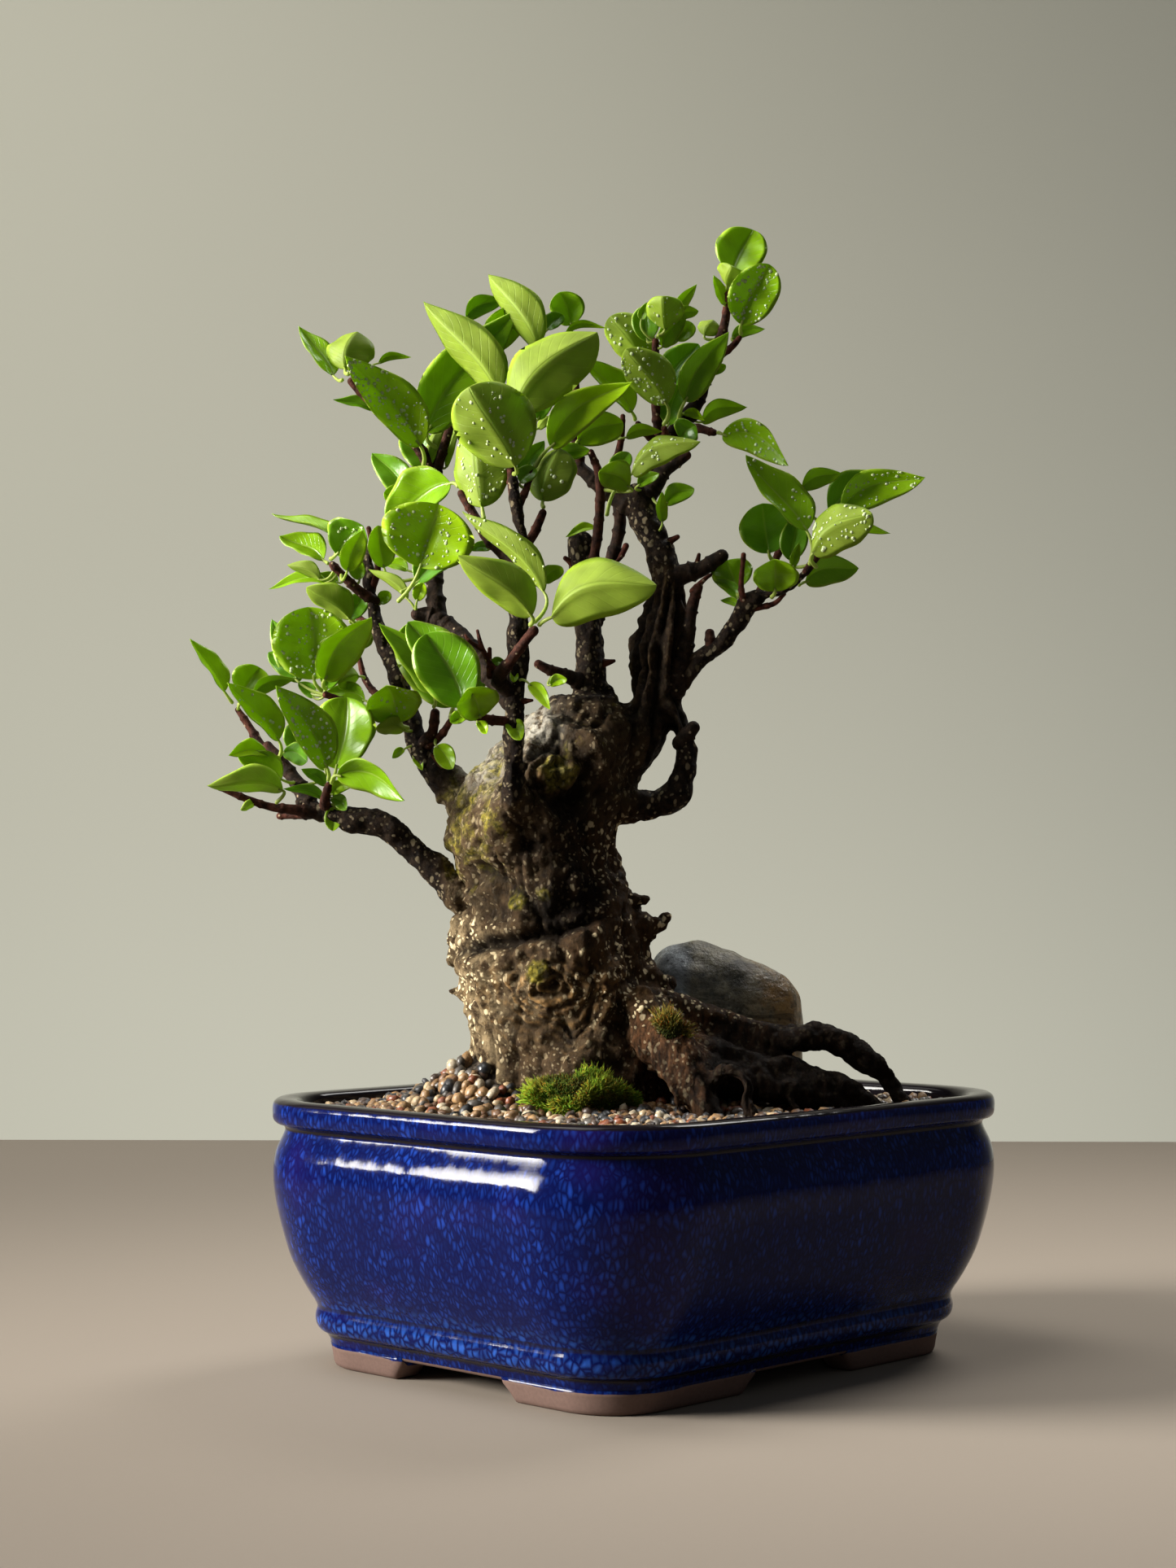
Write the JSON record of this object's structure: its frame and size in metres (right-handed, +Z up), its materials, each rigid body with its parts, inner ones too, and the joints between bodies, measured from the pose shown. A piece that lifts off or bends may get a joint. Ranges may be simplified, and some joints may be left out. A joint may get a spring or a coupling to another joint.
{
  "type": "bonsai tree in a pot",
  "caption": "Small ficus bonsai with a thick gnarled trunk, roots over a river stone and cupped green leaves, in a rounded rectangular blue glazed pot with bracket feet.",
  "frame": {"origin": "on the surface the pot stands on, under the middle of the whole object's outer box, a few millimetres from the pot's own middle", "axes": "+Z up; X along the pot's long side, Y along its short side; the tree's best side faces the pot's corner between -X and -Y"},
  "size_m": [0.2118, 0.198, 0.3748],
  "materials": {
    "blue_glaze": "glossy cobalt glaze with fine pale speckle, near black where it runs thin",
    "drain_mesh": "matte black plastic mesh",
    "potting_soil": "damp gritty earth",
    "river_gravel": "mixed rounded pebbles, satin",
    "river_stone": "smooth water-worn stone, satin",
    "moss": "soft matte moss",
    "bark": "rough bark with pale lenticels",
    "leaf": "waxy upper side, matte underside"
  },
  "bodies": {
    "root": {"drain_screen_left": "drain_mesh", "drain_screen_right": "drain_mesh", "gravel_dressing": "river_gravel", "leaf_centre_1": "leaf", "leaf_centre_2": "leaf", "leaf_centre_3": "leaf", "leaf_centre_4": "leaf", "leaf_centre_5": "leaf", "leaf_centre_6": "leaf", "leaf_centre_7": "leaf", "leaf_far_right_1": "leaf", "leaf_far_right_2": "leaf", "leaf_far_right_3": "leaf", "leaf_far_right_4": "leaf", "leaf_far_right_5": "leaf", "leaf_far_right_6": "leaf", "leaf_far_right_7": "leaf", "leaf_front_1": "leaf", "leaf_front_10": "leaf", "leaf_front_2": "leaf", "leaf_front_3": "leaf", "leaf_front_4": "leaf", "leaf_front_5": "leaf", "leaf_front_6": "leaf", "leaf_front_7": "leaf", "leaf_front_8": "leaf", "leaf_front_9": "leaf", "leaf_low_left_1": "leaf", "leaf_low_left_2": "leaf", "leaf_low_left_3": "leaf", "leaf_low_left_4": "leaf", "leaf_low_left_5": "leaf", "leaf_low_left_6": "leaf", "leaf_low_left_7": "leaf", "leaf_mid_left_1": "leaf", "leaf_mid_left_2": "leaf", "leaf_mid_left_3": "leaf", "leaf_mid_left_4": "leaf", "leaf_mid_left_5": "leaf", "leaf_mid_left_6": "leaf", "leaf_right_1": "leaf", "leaf_right_2": "leaf", "leaf_right_3": "leaf", "leaf_upper_left_1": "leaf", "leaf_upper_left_10": "leaf", "leaf_upper_left_2": "leaf", "leaf_upper_left_3": "leaf", "leaf_upper_left_4": "leaf", "leaf_upper_left_5": "leaf", "leaf_upper_left_6": "leaf", "leaf_upper_left_7": "leaf", "leaf_upper_left_8": "leaf", "leaf_upper_left_9": "leaf", "moss_front": "moss", "moss_right": "moss", "pot": "blue_glaze", "river_stone": "river_stone", "soil": "potting_soil", "tree": "bark"}
  },
  "joints": []
}
